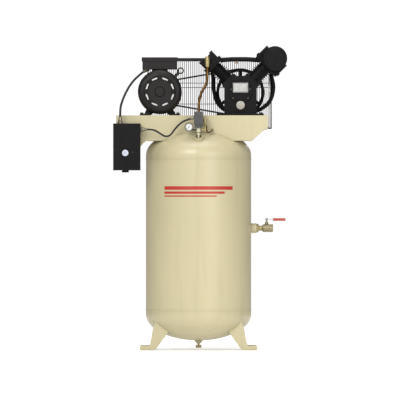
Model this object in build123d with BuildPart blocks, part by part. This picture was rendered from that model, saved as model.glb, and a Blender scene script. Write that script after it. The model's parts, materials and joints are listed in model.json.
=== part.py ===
from build123d import *

import math
import os

# Vertical tank air compressor. Millimetres, +Z up, the front faces -Y.
# The origin is on the tank's axis at floor level, the middle of the four foot bolts.

os.makedirs("parts", exist_ok=True)

RIGHT = Vector(1, 0, 0)
BACK = Vector(0, 1, 0)
UP = Vector(0, 0, 1)

# Tank: a rolled shell between two 2:1 elliptical heads
TANK_R = 305.0
TANK_WALL = 5.0
HEAD_DEPTH = TANK_R / 2
BOTTOM_TANGENT = 207.0
BOTTOM_SEAM = 228.0
TOP_TANGENT = 1130.0
TOP_SEAM = 1112.0
SEAM_BEAD = 1.5
SEAM_WIDTH = 8.0

# Legs: pressed channels, open outwards, each with its toe bolted to the floor
LEG_FRONT = 166.0
LEG_WIDTH = 75.0
LEG_PLATE = 5.0
TOE_TIP = 338.0
TOE_HEIGHT = 25.0
FOOT_BOLT_X = 302.0
FOOT_BOLT_Y = LEG_FRONT - LEG_WIDTH / 2
FOOT_BOLT_R = 7.0

# Platform: a folded top plate welded over the tank
DECK_Z = 1358.0
DECK_LEFT = -476.0
DECK_RIGHT = 400.0
DECK_HALF_DEPTH = 163.0
DECK_PLATE = 5.0
SKIRT_BOTTOM = 1212.0

# Motor, its axis along Y
MOTOR_X = -224.0
SHAFT_Z = 1495.0
MOTOR_R = 120.0
BELL_R = 127.0
MOTOR_BORE_R = 114.0
MOTOR_FRONT = -155.0
SHELL_FRONT = -100.0
SHELL_BACK = 85.0
MOTOR_BACK = 125.0
MOTOR_SHAFT_R = 17.5
MOTOR_BEARING_R = 36.0
RUNNING_GAP = 0.05

# Pump, its crank axis along Y
CRANK_X = 243.0
CRANK_BORE_R = 20.0
CRANK_BEARING_R = 42.0
THROW = 30.0
ROD_LENGTH = 160.0
LOW_Y = 2.0
HIGH_Y = -19.0
V_COS = math.sqrt(0.5)
PUMP_FRONT = -70.0
PUMP_BACK = 110.0

# Belt drive
BELT_Y = 195.0
BELT_SPACING = 19.0
BELT_WIDTH = 13.0
BELT_THICKNESS = 9.0
BELT_GAP = 0.6
FLYWHEEL_PITCH_R = 137.0
SHEAVE_PITCH_R = 58.0
WHEEL_WIDTH = 44.0

# Guard behind the belts
GUARD_LEFT = -298.0
GUARD_RIGHT = 426.0
GUARD_BOTTOM = 1284.0
GUARD_TOP = 1696.0
GUARD_BACK = 250.0
GUARD_FRONT = 168.0
WIRE_PITCH = 11.0
WIRE = 3.0

# Controls on the tank's front bung
BUNG_Y = -240.0
BUNG_TILT = 32.4
MANIFOLD_TOP = 1286.0
SWITCH_TOP = 1379.0
GAUGE_X = -55.0
GAUGE_Z = 1290.0
GAUGE_R = 24.0
VALVE_X = 37.0

# Starter box, hung on the left of the platform
BOX_LEFT = -492.0
BOX_RIGHT = -335.0
BOX_BOTTOM = 1040.0
BOX_TOP = 1310.0
BOX_BACK = -168.0
BOX_FRONT = -284.0
BUTTON_X = -422.0
BUTTON_Z = 1140.0
BUTTON_R = 18.5

# Outlet valve on the tank's right side
OUTLET_Z = 706.0
OUTLET_END = 432.0
STEM_X = 395.0
OUTLET_BORE_R = 9.5
OUTLET_BUNG_R = 29.0

# Cables
MOTOR_CABLE_D = 13.0
SWITCH_CABLE_D = 11.0
MOTOR_CABLE_ROUTE = [
    (-320, -62, 1611),
    (-355, -66, 1583),
    (-392, -108, 1541),
    (-422, -165, 1487),
    (-443, -208, 1434),
    (-452, -228, 1394),
    (-452, -228, 1348),
]
SWITCH_CABLE_ROUTE = [
    (-298, -235, 1276),
    (-262, -235, 1276),
    (-231, -235, 1259),
    (-200, -236, 1238),
    (-180, -237, 1235),
    (-161, -238, 1243),
    (-137, -239, 1277),
    (-111, -240, 1306),
    (-80, -240, 1328),
    (-44, -240, 1338),
]


def crossing(point, radial, axis):
    """A drawing plane whose x runs outwards and whose y runs along the axis."""
    return Plane(origin=point, x_dir=radial, z_dir=radial.cross(axis))


def about(centre_x, points):
    """Points drawn about a shaft's centre, moved to where that shaft is."""
    return [(centre_x + x, SHAFT_Z + z) for x, z in points]


def front(y):
    """A drawing plane seen from the front, at depth y; it extrudes forwards."""
    return Plane(origin=(0, y, 0), x_dir=(1, 0, 0), z_dir=(0, -1, 0))


def block(low, high, mode=Mode.ADD):
    """A box between two corners."""
    middle = [(a + b) / 2 for a, b in zip(low, high)]
    sides = [b - a for a, b in zip(low, high)]
    with Locations(tuple(middle)):
        Box(*sides, mode=mode)


def bar(start, along, radius, length, mode=Mode.ADD):
    """A round bar from a point along a direction."""
    with BuildSketch(Plane(origin=start, z_dir=along)) as section:
        Circle(radius)
    extrude(section.sketch, amount=length, mode=mode)


def hexagon(start, along, flats, length, mode=Mode.ADD):
    """A hexagonal bar, or a nut, from a point along a direction."""
    with BuildSketch(Plane(origin=start, z_dir=along)) as section:
        RegularPolygon(radius=flats / 2, side_count=6, major_radius=False)
    extrude(section.sketch, amount=length, mode=mode)


def ring(start, along, outer, inner, length, mode=Mode.ADD):
    """A round tube from a point along a direction."""
    with BuildSketch(Plane(origin=start, z_dir=along)) as section:
        Circle(outer)
        Circle(inner, mode=Mode.SUBTRACT)
    extrude(section.sketch, amount=length, mode=mode)


def slab(points, back, ahead, radii=0.0, mode=Mode.ADD):
    """A flat outline in XZ with rounded corners, from depth back forwards to depth ahead."""
    with BuildSketch(front(back)) as outline:
        with BuildLine():
            FilletPolyline(*points, radius=radii, close=True)
        make_face()
    extrude(outline.sketch, amount=back - ahead, mode=mode)


def turned(point, radial, axis, profile, mode=Mode.ADD):
    """A turned solid: (radius, distance along the axis) points, closed and revolved."""
    with BuildSketch(crossing(point, radial, axis)) as outline:
        with BuildLine():
            Polyline(*profile, close=True)
        make_face()
    revolve(outline.sketch, axis=Axis(point, axis), mode=mode)


def head_plane(flip):
    """A drawing plane through the tank's axis, its y away from a head; flip is 1 at the top."""
    return Plane(origin=(0, 0, 0), x_dir=(1, 0, 0), z_dir=(0, flip, 0))


def quarter_ellipse(tangent, inset=0.0):
    """The curve of a tank head, bulging towards -y."""
    EllipticalCenterArc((0, tangent), TANK_R - inset, HEAD_DEPTH - inset, -90, arc_size=90)


def dome(tangent, seam, flip, mode=Mode.ADD):
    """A tank head's outside as a solid, with its straight flange."""
    edge = -flip * tangent
    base = -flip * seam
    with BuildSketch(head_plane(flip)) as outline:
        with BuildLine():
            quarter_ellipse(edge)
            Polyline((0, edge - HEAD_DEPTH), (0, base), (TANK_R, base), (TANK_R, edge))
        make_face()
    revolve(outline.sketch, axis=Axis.Z, mode=mode)


def head_wall(tangent, seam, flip):
    """A tank head as it is pressed, one wall thick."""
    edge = -flip * tangent
    base = -flip * seam
    inner = TANK_R - TANK_WALL
    with BuildSketch(head_plane(flip)) as outline:
        with BuildLine():
            quarter_ellipse(edge)
            quarter_ellipse(edge, TANK_WALL)
            Line((0, edge - HEAD_DEPTH), (0, edge - HEAD_DEPTH + TANK_WALL))
            Polyline((TANK_R, edge), (TANK_R, base), (inner, base), (inner, edge))
        make_face()
    revolve(outline.sketch, axis=Axis.Z)


def tank_body(mode=Mode.SUBTRACT):
    """The whole outside of the tank as one solid, to fit pieces to it."""
    dome(BOTTOM_TANGENT, BOTTOM_SEAM, -1, mode=mode)
    bar((0, 0, BOTTOM_SEAM), UP, TANK_R, TOP_SEAM - BOTTOM_SEAM, mode=mode)
    dome(TOP_TANGENT, TOP_SEAM, 1, mode=mode)


def corner_radii(points, share=0.45):
    """The radius of each corner: a share of the shorter run over tan(half the turn)."""
    runs = [Vector(*b) - Vector(*a) for a, b in zip(points, points[1:])]
    radii = []
    for before, after in zip(runs, runs[1:]):
        half_turn = math.radians(before.get_angle(after)) / 2
        radii.append(share * min(before.length, after.length) / math.tan(half_turn))
    return radii


def piped(points, outer, inner=0.0):
    """A tube along straight runs and tangent arcs, from the first point to the last."""
    with BuildLine() as path:
        FilletPolyline(*points, radius=corner_radii(points))
    with BuildSketch(Plane(origin=path.line @ 0, z_dir=path.line % 0)) as section:
        Circle(outer)
        if inner:
            Circle(inner, mode=Mode.SUBTRACT)
    sweep(section.sketch, path=path.line)
    return sum(edge.length for edge in path.line.edges())


def fitted(*neighbours):
    """Cut the piece being built back from its finished neighbours."""
    for neighbour in neighbours:
        add(neighbour.part, mode=Mode.SUBTRACT)


def finish(builder, name):
    """Label one finished piece and write its STEP file."""
    builder.part.label = name
    export_step(builder.part, f"parts/{name}.step")


# ---------------------------------------------------------------- tank

with BuildPart() as tank_shell:
    ring((0, 0, BOTTOM_SEAM), UP, TANK_R, TANK_R - TANK_WALL, TOP_SEAM - BOTTOM_SEAM)
    for seam_z in (BOTTOM_SEAM, TOP_SEAM - SEAM_WIDTH):
        ring((0, 0, seam_z), UP, TANK_R + SEAM_BEAD, TANK_R - 1, SEAM_WIDTH)
    bar((TANK_R - 20, 0, OUTLET_Z), RIGHT, OUTLET_BUNG_R, 40, mode=Mode.SUBTRACT)
finish(tank_shell, "tank_shell")

with BuildPart() as top_head:
    head_wall(TOP_TANGENT, TOP_SEAM, 1)
finish(top_head, "top_head")

with BuildPart() as bottom_head:
    head_wall(BOTTOM_TANGENT, BOTTOM_SEAM, -1)
finish(bottom_head, "bottom_head")

# The web slopes in to the tank and its two flanges are cut to the bottom head.
LEG_SIDE = [
    (-238, 190),
    (-262, 132),
    (-279, 40),
    (-284, TOE_HEIGHT),
    (-TOE_TIP, TOE_HEIGHT),
    (-TOE_TIP, 0),
    (-250, 0),
    (-160, 128),
]
LEG_POCKET = [
    (-TOE_TIP - 10, LEG_PLATE),
    (-250 - LEG_PLATE / 2, LEG_PLATE),
    (-160 - LEG_PLATE * 1.22, 128),
    (-160 - LEG_PLATE * 1.22, 200),
    (-TOE_TIP - 10, 200),
]
WEB_BEND = 45.0

LEG_REAR = -LEG_FRONT + LEG_WIDTH

with BuildPart() as legs:
    slab(LEG_SIDE, LEG_REAR, -LEG_FRONT, radii=[0, 0, 8, 8, 3, 3, WEB_BEND, 0])
    slab(
        LEG_POCKET,
        LEG_REAR - LEG_PLATE,
        -LEG_FRONT + LEG_PLATE,
        radii=[0, WEB_BEND - LEG_PLATE, 0, 0, 0],
        mode=Mode.SUBTRACT,
    )
    bar((-FOOT_BOLT_X, -FOOT_BOLT_Y, -1), UP, FOOT_BOLT_R, LEG_PLATE + 2, mode=Mode.SUBTRACT)
    mirror(about=Plane.XZ)
    mirror(about=Plane.YZ)
    tank_body()
finish(legs, "legs")

BUNG_AXIS = Vector(0, -math.sin(math.radians(BUNG_TILT)), math.cos(math.radians(BUNG_TILT)))
BUNG_Z = TOP_TANGENT + HEAD_DEPTH * math.sqrt(1 - (BUNG_Y / TANK_R) ** 2)
BUNG_BASE = Vector(0, BUNG_Y, BUNG_Z) - BUNG_AXIS * 12

with BuildPart() as tank_bungs:
    bar(BUNG_BASE, BUNG_AXIS, 29, 22)
    bar(BUNG_BASE + BUNG_AXIS * 15, BUNG_AXIS, 19, 12, mode=Mode.SUBTRACT)
    turned(Vector(0, 0, 0), RIGHT, UP, [(9, 38), (12, 38), (23, 53), (23, 75), (9, 75)])
    tank_body()
    ring((TANK_R - 8, 0, OUTLET_Z), RIGHT, OUTLET_BUNG_R, 15, 39)
finish(tank_bungs, "tank_bungs")

# ---------------------------------------------------------------- platform

HANGER_RIGHT = -338.0
FRONT_SKIRT = [
    (DECK_LEFT, DECK_Z - DECK_PLATE),
    (DECK_LEFT, 1062),
    (HANGER_RIGHT, 1062),
    (HANGER_RIGHT, SKIRT_BOTTOM),
    (310, SKIRT_BOTTOM),
    (383, 1278),
    (DECK_RIGHT, 1280),
    (DECK_RIGHT, DECK_Z - DECK_PLATE),
]
FRONT_SKIRT_RADII = [0, 10, 10, 58, 12, 8, 0, 0]
REAR_SKIRT = [
    (DECK_LEFT, DECK_Z - DECK_PLATE),
    (DECK_LEFT, 1280),
    (-386, SKIRT_BOTTOM),
    (310, SKIRT_BOTTOM),
    (383, 1278),
    (DECK_RIGHT, 1280),
    (DECK_RIGHT, DECK_Z - DECK_PLATE),
]
CRANK_SLOTS = [(sx * 118.0, sy) for sx in (-1, 1) for sy in (-66, 106)]
DECK_BOLT_R = 5.5
MOTOR_SLOTS = [(MOTOR_X + sx * 105.0, sy) for sx in (-1, 1) for sy in (-62, 47)]

with BuildPart() as top_plate:
    block((DECK_LEFT, -DECK_HALF_DEPTH, DECK_Z - DECK_PLATE), (DECK_RIGHT, DECK_HALF_DEPTH, DECK_Z))
    slab(FRONT_SKIRT, -DECK_HALF_DEPTH + DECK_PLATE, -DECK_HALF_DEPTH, radii=FRONT_SKIRT_RADII)
    slab(REAR_SKIRT, DECK_HALF_DEPTH, DECK_HALF_DEPTH - DECK_PLATE)
    for end_x in (DECK_LEFT, DECK_RIGHT - DECK_PLATE):
        block((end_x, -DECK_HALF_DEPTH, 1281), (end_x + DECK_PLATE, DECK_HALF_DEPTH, DECK_Z))
    with Locations((0, 0, DECK_Z)):
        with Locations(*[(CRANK_X + x, y) for x, y in CRANK_SLOTS], *MOTOR_SLOTS):
            Cylinder(DECK_BOLT_R, 3 * DECK_PLATE, mode=Mode.SUBTRACT)
    tank_body()
finish(top_plate, "top_plate")

with BuildPart() as starter_bracket:
    for rail_z in (1076, 1262):
        block((-466, BOX_BACK, rail_z), (-352, -DECK_HALF_DEPTH, rail_z + 28))
finish(starter_bracket, "starter_bracket")

# ---------------------------------------------------------------- motor

MOTOR_AT = Vector(MOTOR_X, 0, SHAFT_Z)

PEDESTAL = [(-90, -126), (90, -126), (70, -84), (-70, -84)]
PEDESTAL_ARCH = [(-58, -138), (58, -138), (38, -121), (-38, -121)]

with BuildPart() as motor_frame:
    bar((MOTOR_X, SHELL_BACK, SHAFT_Z), -BACK, MOTOR_R, SHELL_BACK - SHELL_FRONT)
    block((MOTOR_X - 116, -80, DECK_Z), (MOTOR_X + 116, 65, DECK_Z + 11))
    slab(about(MOTOR_X, PEDESTAL), 55, -70)
    slab(about(MOTOR_X, PEDESTAL_ARCH), 70, -90, mode=Mode.SUBTRACT)
    bar((MOTOR_X, SHELL_BACK + 1, SHAFT_Z), -BACK, MOTOR_BORE_R, SHELL_BACK - SHELL_FRONT + 2, Mode.SUBTRACT)
    with Locations((0, 0, DECK_Z)):
        with Locations(*MOTOR_SLOTS):
            Cylinder(DECK_BOLT_R, 40, mode=Mode.SUBTRACT)
finish(motor_frame, "motor_frame")

VENT_R = 79.0
VENT_WIDTH = 9.0
VENT_LENGTH = 36.0
VENT_COUNT = 8
FRONT_BELL = [
    (0, MOTOR_FRONT + 4),
    (26, MOTOR_FRONT + 4),
    (30, MOTOR_FRONT + 14),
    (66, MOTOR_FRONT + 14),
    (88, MOTOR_FRONT + 4),
    (94, MOTOR_FRONT),
    (112, MOTOR_FRONT + 5),
    (121, MOTOR_FRONT + 14),
    (BELL_R, MOTOR_FRONT + 26),
    (BELL_R, SHELL_FRONT - 3),
    (BELL_R - 2, SHELL_FRONT),
    (MOTOR_BORE_R - 2, SHELL_FRONT),
    (MOTOR_BORE_R - 2, MOTOR_FRONT + 26),
    (100, MOTOR_FRONT + 14),
    (90, MOTOR_FRONT + 12),
    (70, MOTOR_FRONT + 22),
    (46, MOTOR_FRONT + 22),
    (46, -101),
    (MOTOR_BEARING_R, -101),
    (MOTOR_BEARING_R, MOTOR_FRONT + 32),
    (0, MOTOR_FRONT + 32),
]
REAR_BELL = [
    (46, 84),
    (46, 104),
    (MOTOR_BORE_R - 2, 97),
    (MOTOR_BORE_R - 2, SHELL_BACK),
    (BELL_R - 2, SHELL_BACK),
    (BELL_R, SHELL_BACK + 3),
    (BELL_R, 96),
    (112, 109),
    (60, MOTOR_BACK - 5),
    (50, MOTOR_BACK),
    (22, MOTOR_BACK),
    (22, 104),
    (MOTOR_BEARING_R, 104),
    (MOTOR_BEARING_R, 84),
]

with BuildPart() as motor_front_bell:
    turned(MOTOR_AT, RIGHT, BACK, FRONT_BELL)
    with BuildSketch(Plane(origin=(MOTOR_X, 0, SHAFT_Z), x_dir=(1, 0, 0), z_dir=(0, -1, 0))) as vents:
        with PolarLocations(VENT_R, VENT_COUNT, start_angle=180 / VENT_COUNT):
            SlotOverall(VENT_LENGTH, VENT_WIDTH, rotation=90)
    extrude(vents.sketch, amount=200, mode=Mode.SUBTRACT)
finish(motor_front_bell, "motor_front_bell")

with BuildPart() as motor_rear_bell:
    turned(MOTOR_AT, RIGHT, BACK, REAR_BELL)
finish(motor_rear_bell, "motor_rear_bell")

with BuildPart() as motor_stator:
    ring((MOTOR_X, 50, SHAFT_Z), -BACK, MOTOR_BORE_R, 70.6, 120)
    for coil_y in (50, -86):
        ring((MOTOR_X, coil_y + 16, SHAFT_Z), -BACK, 104, 76, 16)
finish(motor_stator, "motor_stator")

with BuildPart() as motor_rotor:
    bar((MOTOR_X, 50, SHAFT_Z), -BACK, 70, 120)
    for end_y in (60, -70):
        ring((MOTOR_X, end_y, SHAFT_Z), -BACK, 62, 30, 10)
    bar((MOTOR_X, 216, SHAFT_Z), -BACK, MOTOR_SHAFT_R, 216 + 119)
    with Locations((MOTOR_X, 195, SHAFT_Z + MOTOR_SHAFT_R)):
        Box(8, 40, 5, mode=Mode.SUBTRACT)
finish(motor_rotor, "motor_rotor")

# ---------------------------------------------------------------- pump frame

CRANK_AT = Vector(CRANK_X, 0, SHAFT_Z)
CASE_FRONT_VIEW = [
    (-94, -125),
    (94, -125),
    (94, 23),
    (106, 35.4),
    (35.4, 106),
    (22, 93),
    (-22, 93),
    (-35.4, 106),
    (-106, 35.4),
    (-94, 23),
]
CASE_CAVITY = [
    (-82, -112),
    (82, -112),
    (82, 16),
    (84, 42),
    (42, 84),
    (22, 81),
    (-22, 81),
    (-42, 84),
    (-84, 42),
    (-82, 16),
]
COVER_R = 64.0
SPIGOT_R = 49.0
SIGHT_BOSS_R = 26.0
COVER_THICKNESS = 10.0
SUMP_WINDOW_Z = SHAFT_Z - 77.0
LOW_AXIS = Vector(V_COS, 0, V_COS)
HIGH_AXIS = Vector(-V_COS, 0, V_COS)
LOW_AT = Vector(CRANK_X, LOW_Y, SHAFT_Z)
HIGH_AT = Vector(CRANK_X, HIGH_Y, SHAFT_Z)
LOW_BORE_R = 33.0
HIGH_BORE_R = 21.0
DECK_S = 100.0


with BuildPart() as crankcase:
    slab(about(CRANK_X, CASE_FRONT_VIEW), PUMP_BACK, PUMP_FRONT)
    block((CRANK_X - 139, -92, DECK_Z), (CRANK_X + 135, 130, DECK_Z + 12))
    bar((CRANK_X, PUMP_BACK + 15, SHAFT_Z), -BACK, 58, 20)
    bar((CRANK_X, PUMP_FRONT + 1, SUMP_WINDOW_Z), -BACK, SIGHT_BOSS_R, 7)
    slab(about(CRANK_X, CASE_CAVITY), 36, PUMP_FRONT + 12, mode=Mode.SUBTRACT)
    bar((CRANK_X, PUMP_FRONT + 20, SHAFT_Z), -BACK, SPIGOT_R, 40, mode=Mode.SUBTRACT)
    bar((CRANK_X, PUMP_BACK + 15, SHAFT_Z), -BACK, CRANK_BEARING_R, 120, mode=Mode.SUBTRACT)
    bar(LOW_AT + LOW_AXIS * 60, LOW_AXIS, 36, 60, mode=Mode.SUBTRACT)
    bar(HIGH_AT + HIGH_AXIS * 60, HIGH_AXIS, 31, 60, mode=Mode.SUBTRACT)
    bar((CRANK_X, PUMP_FRONT + 20, SUMP_WINDOW_Z), -BACK, 21, 40, mode=Mode.SUBTRACT)
    with Locations((0, 0, DECK_Z)):
        with Locations(*[(CRANK_X + x, y) for x, y in CRANK_SLOTS]):
            Cylinder(DECK_BOLT_R, 40, mode=Mode.SUBTRACT)
finish(crankcase, "crankcase")

COVER_BOLT_ANGLES = (-40, 15, 165, 220)
COVER_BOLT_R = 57.0
COVER_FACE = PUMP_FRONT - COVER_THICKNESS


def cover_bolt_points():
    """Where the crankcase cover's screws go, about the crank's axis."""
    angles = [math.radians(angle) for angle in COVER_BOLT_ANGLES]
    return [(COVER_BOLT_R * math.cos(a), COVER_BOLT_R * math.sin(a)) for a in angles]


with BuildPart() as crankcase_cover:
    bar((CRANK_X, PUMP_FRONT, SHAFT_Z), -BACK, COVER_R, COVER_THICKNESS)
    bar((CRANK_X, PUMP_FRONT, SHAFT_Z), -BACK, SPIGOT_R - 2, COVER_THICKNESS + 4)
    bar((CRANK_X, PUMP_FRONT + 6, SHAFT_Z), -BACK, SPIGOT_R, 6)
    block((CRANK_X - 45, COVER_FACE - 7, 1490), (CRANK_X + 45, COVER_FACE + 1, 1549))
    bar((CRANK_X, PUMP_FRONT, SUMP_WINDOW_Z), -BACK, SIGHT_BOSS_R + 0.3, 40, mode=Mode.SUBTRACT)
    for x, z in cover_bolt_points():
        bar((CRANK_X + x, PUMP_FRONT + 1, SHAFT_Z + z), -BACK, 3.2, COVER_THICKNESS + 2, mode=Mode.SUBTRACT)
finish(crankcase_cover, "crankcase_cover")

with BuildPart() as nameplate:
    block(
        (CRANK_X - 43.5, COVER_FACE - 8, 1492),
        (CRANK_X + 43.5, COVER_FACE - 7, 1547),
    )
finish(nameplate, "nameplate")

with BuildPart() as sight_glass:
    bar((CRANK_X, PUMP_FRONT - 6, SUMP_WINDOW_Z), -BACK, 24, 5)
    bar((CRANK_X, PUMP_FRONT + 10, SUMP_WINDOW_Z), -BACK, 21, 18)
    bar((CRANK_X, PUMP_FRONT - 6, SUMP_WINDOW_Z), -BACK, 15, 10, mode=Mode.SUBTRACT)
finish(sight_glass, "sight_glass")

# ---------------------------------------------------------------- crank and flywheel

WEB_FRONT = 14.0
WEB_BACK = 30.0
CRANK_END = 226.0
FLYWHEEL_HUB_R = 38.0
BELT_LINES = [BELT_Y - BELT_SPACING / 2, BELT_Y + BELT_SPACING / 2]

with BuildPart() as crankshaft:
    bar((CRANK_X, CRANK_END, SHAFT_Z), -BACK, 19, CRANK_END - 120)
    bar((CRANK_X, 125, SHAFT_Z), -BACK, CRANK_BORE_R, 125 - WEB_BACK)
    bar((CRANK_X, WEB_BACK, SHAFT_Z), -BACK, 48, WEB_BACK - WEB_FRONT)
    bar((CRANK_X, WEB_FRONT, SHAFT_Z + THROW), -BACK, 14, 2.2)
    hexagon((CRANK_X, CRANK_END - 6, SHAFT_Z), BACK, 30, 14)
finish(crankshaft, "crankshaft")

with BuildPart() as bearings:
    for back_y in (68, 120):
        ring((CRANK_X, back_y, SHAFT_Z), -BACK, CRANK_BEARING_R, CRANK_BORE_R + RUNNING_GAP, 20)
    ring((MOTOR_X, 103, SHAFT_Z), -BACK, MOTOR_BEARING_R, MOTOR_SHAFT_R + RUNNING_GAP, 18)
    ring((MOTOR_X, -102, SHAFT_Z), -BACK, MOTOR_BEARING_R, MOTOR_SHAFT_R + RUNNING_GAP, 18)
finish(bearings, "bearings")


def pulley_profile(pitch_r, rim_depth):
    """Half-section of a grooved rim: (radius, y) points, front to back."""
    outer = pitch_r + 3
    floor = pitch_r - BELT_THICKNESS / 2 - BELT_GAP
    half = BELT_WIDTH / 2 + BELT_GAP
    points = [(pitch_r - rim_depth, BELT_Y - WHEEL_WIDTH / 2), (outer, BELT_Y - WHEEL_WIDTH / 2)]
    for line in BELT_LINES:
        points += [(outer, line - half), (floor, line - half), (floor, line + half), (outer, line + half)]
    points += [(outer, BELT_Y + WHEEL_WIDTH / 2), (pitch_r - rim_depth, BELT_Y + WHEEL_WIDTH / 2)]
    return points


SPOKES = 6

with BuildPart() as flywheel:
    turned(CRANK_AT, RIGHT, BACK, pulley_profile(FLYWHEEL_PITCH_R, 15))
    bar((CRANK_X, BELT_Y + 24, SHAFT_Z), -BACK, FLYWHEEL_HUB_R, 48)
    with BuildSketch(
        Plane(origin=(CRANK_X, BELT_Y + 9, SHAFT_Z), x_dir=(1, 0, 0), z_dir=(0, -1, 0))
    ) as spokes:
        with PolarLocations(79, SPOKES, start_angle=90):
            Rectangle(92, 18)
    extrude(spokes.sketch, amount=18)
    bar((CRANK_X, BELT_Y + 30, SHAFT_Z), -BACK, 19, 70, mode=Mode.SUBTRACT)
finish(flywheel, "flywheel")

with BuildPart() as motor_sheave:
    turned(MOTOR_AT, RIGHT, BACK, pulley_profile(SHEAVE_PITCH_R, SHEAVE_PITCH_R - MOTOR_SHAFT_R))
    bar((MOTOR_X, BELT_Y - WHEEL_WIDTH / 2, SHAFT_Z), -BACK, 30, 10)
    bar((MOTOR_X, BELT_Y + 30, SHAFT_Z), -BACK, MOTOR_SHAFT_R, 70, mode=Mode.SUBTRACT)
finish(motor_sheave, "motor_sheave")

with BuildPart() as drive_belts:
    for line in BELT_LINES:
        for grow, mode in ((BELT_THICKNESS / 2, Mode.ADD), (-BELT_THICKNESS / 2, Mode.SUBTRACT)):
            with BuildSketch(front(line + BELT_WIDTH / 2)) as belt_loop:
                with Locations((CRANK_X, SHAFT_Z)):
                    Circle(FLYWHEEL_PITCH_R + grow)
                with Locations((MOTOR_X, SHAFT_Z)):
                    Circle(SHEAVE_PITCH_R + grow)
                make_hull()
            extrude(belt_loop.sketch, amount=BELT_WIDTH, mode=mode)
finish(drive_belts, "drive_belts")

# ---------------------------------------------------------------- cylinders and heads

FIN_PITCH = 13.0
FIN_THICKNESS = 4.0


def finned_barrel(at, axis, bore, barrel, fin_r, base_half, top_half, top_s, mouth):
    """A cylinder casting along its axis: a base flange, a finned barrel and a top flange."""
    side = Vector(V_COS, 0, -V_COS) if axis.X > 0 else Vector(V_COS, 0, V_COS)
    profile = [(bore, DECK_S), (barrel, DECK_S)]
    fin_s = DECK_S + 18
    while fin_s < top_s - 14:
        profile += [
            (barrel, fin_s),
            (fin_r, fin_s),
            (fin_r, fin_s + FIN_THICKNESS),
            (barrel, fin_s + FIN_THICKNESS),
        ]
        fin_s += FIN_PITCH
    profile += [(barrel, top_s), (bore, top_s)]
    turned(at, side, axis, profile)
    for start, thickness, half in ((DECK_S, 9, base_half), (top_s - 8, 8, top_half)):
        with BuildSketch(Plane(origin=at + axis * start, x_dir=side, z_dir=axis)) as flange:
            RectangleRounded(2 * half, 2 * half, 12)
            Circle(bore, mode=Mode.SUBTRACT)
        extrude(flange.sketch, amount=thickness)
    if mouth > bore:
        bar(at + axis * (DECK_S - 1), axis, mouth, 26, mode=Mode.SUBTRACT)


LOW_TOP = 213.0
HIGH_TOP = 215.0
PLATE = 6.0
LOW_HALF = 88.0
HIGH_HALF = 62.0
LOW_SIDE = Vector(V_COS, 0, -V_COS)
HIGH_SIDE = Vector(V_COS, 0, V_COS)

with BuildPart() as low_cylinder:
    finned_barrel(LOW_AT, LOW_AXIS, LOW_BORE_R, 39, 47, 48, 80, LOW_TOP, 36)
finish(low_cylinder, "low_cylinder")

with BuildPart() as high_cylinder:
    finned_barrel(HIGH_AT, HIGH_AXIS, HIGH_BORE_R, 33, 45, 46, 56, HIGH_TOP, 31)
finish(high_cylinder, "high_cylinder")


def square_on(at, axis, side, start, half, corner, thickness, mode=Mode.ADD):
    """A square block across a cylinder's axis."""
    with BuildSketch(Plane(origin=at + axis * start, x_dir=side, z_dir=axis)) as outline:
        RectangleRounded(2 * half, 2 * half, corner)
    extrude(outline.sketch, amount=thickness, mode=mode)


with BuildPart() as valve_plates:
    square_on(LOW_AT, LOW_AXIS, LOW_SIDE, LOW_TOP, 82, 14, PLATE)
    square_on(HIGH_AT, HIGH_AXIS, HIGH_SIDE, HIGH_TOP, 58, 12, PLATE)
finish(valve_plates, "valve_plates")

LOW_HEAD_TOP = 290.0
HIGH_HEAD_TOP = 282.0
HEAD_FIN_GAP = 5.0
LOW_BOLT_REACH = 72.0
HIGH_BOLT_REACH = 41.0
FILTER_S = 275.0
FILTER_NECK_R = 14.0
HEAD_BOLT_R = 6.0


def head_bolt_points(at, axis, side, top_s, reach):
    """Where a head's four corner bolts stand on its top."""
    corners = [(a, b) for a in (-reach, reach) for b in (-reach, reach)]
    return [at + axis * top_s + side * a + BACK * b for a, b in corners]


def cylinder_head(at, axis, side, base_s, half, cap_half, top_s, fins, bolt_reach):
    """A head casting: a flange, a cap with fins on its top, and its corner bolt holes."""
    square_on(at, axis, side, base_s, half, 14, 16)
    square_on(at, axis, side, base_s + 16, cap_half, 10, top_s - base_s - 16)
    pitch = 2 * cap_half / fins
    for index in range(1, fins):
        offset = -cap_half + index * pitch
        slot = Plane(origin=at + axis * (top_s - 12) + side * offset, x_dir=side, z_dir=axis)
        with BuildSketch(slot) as groove:
            Rectangle(HEAD_FIN_GAP, 2 * bolt_reach - 34)
        extrude(groove.sketch, amount=20, mode=Mode.SUBTRACT)
    for point in head_bolt_points(at, axis, side, top_s, bolt_reach):
        bar(point + axis, -axis, HEAD_BOLT_R + 0.3, 31, mode=Mode.SUBTRACT)


with BuildPart() as low_head:
    cylinder_head(LOW_AT, LOW_AXIS, LOW_SIDE, LOW_TOP + PLATE, LOW_HALF, 82, LOW_HEAD_TOP, 11, LOW_BOLT_REACH)
    bar(LOW_AT + LOW_AXIS * FILTER_S - BACK * 50, -BACK, FILTER_NECK_R - 4, 60, mode=Mode.SUBTRACT)
finish(low_head, "low_head")

with BuildPart() as high_head:
    cylinder_head(HIGH_AT, HIGH_AXIS, HIGH_SIDE, HIGH_TOP + PLATE, HIGH_HALF, 50, HIGH_HEAD_TOP, 7, HIGH_BOLT_REACH)
finish(high_head, "high_head")

# ---------------------------------------------------------------- pistons and rods

PIN_REST = THROW * V_COS + math.sqrt(ROD_LENGTH**2 - (THROW * V_COS) ** 2)
CROWN = 21.0
SKIRT = 17.0
PISTON_GAP = 0.08
CRANK_PIN = Vector(CRANK_X, 0, SHAFT_Z + THROW)


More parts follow.
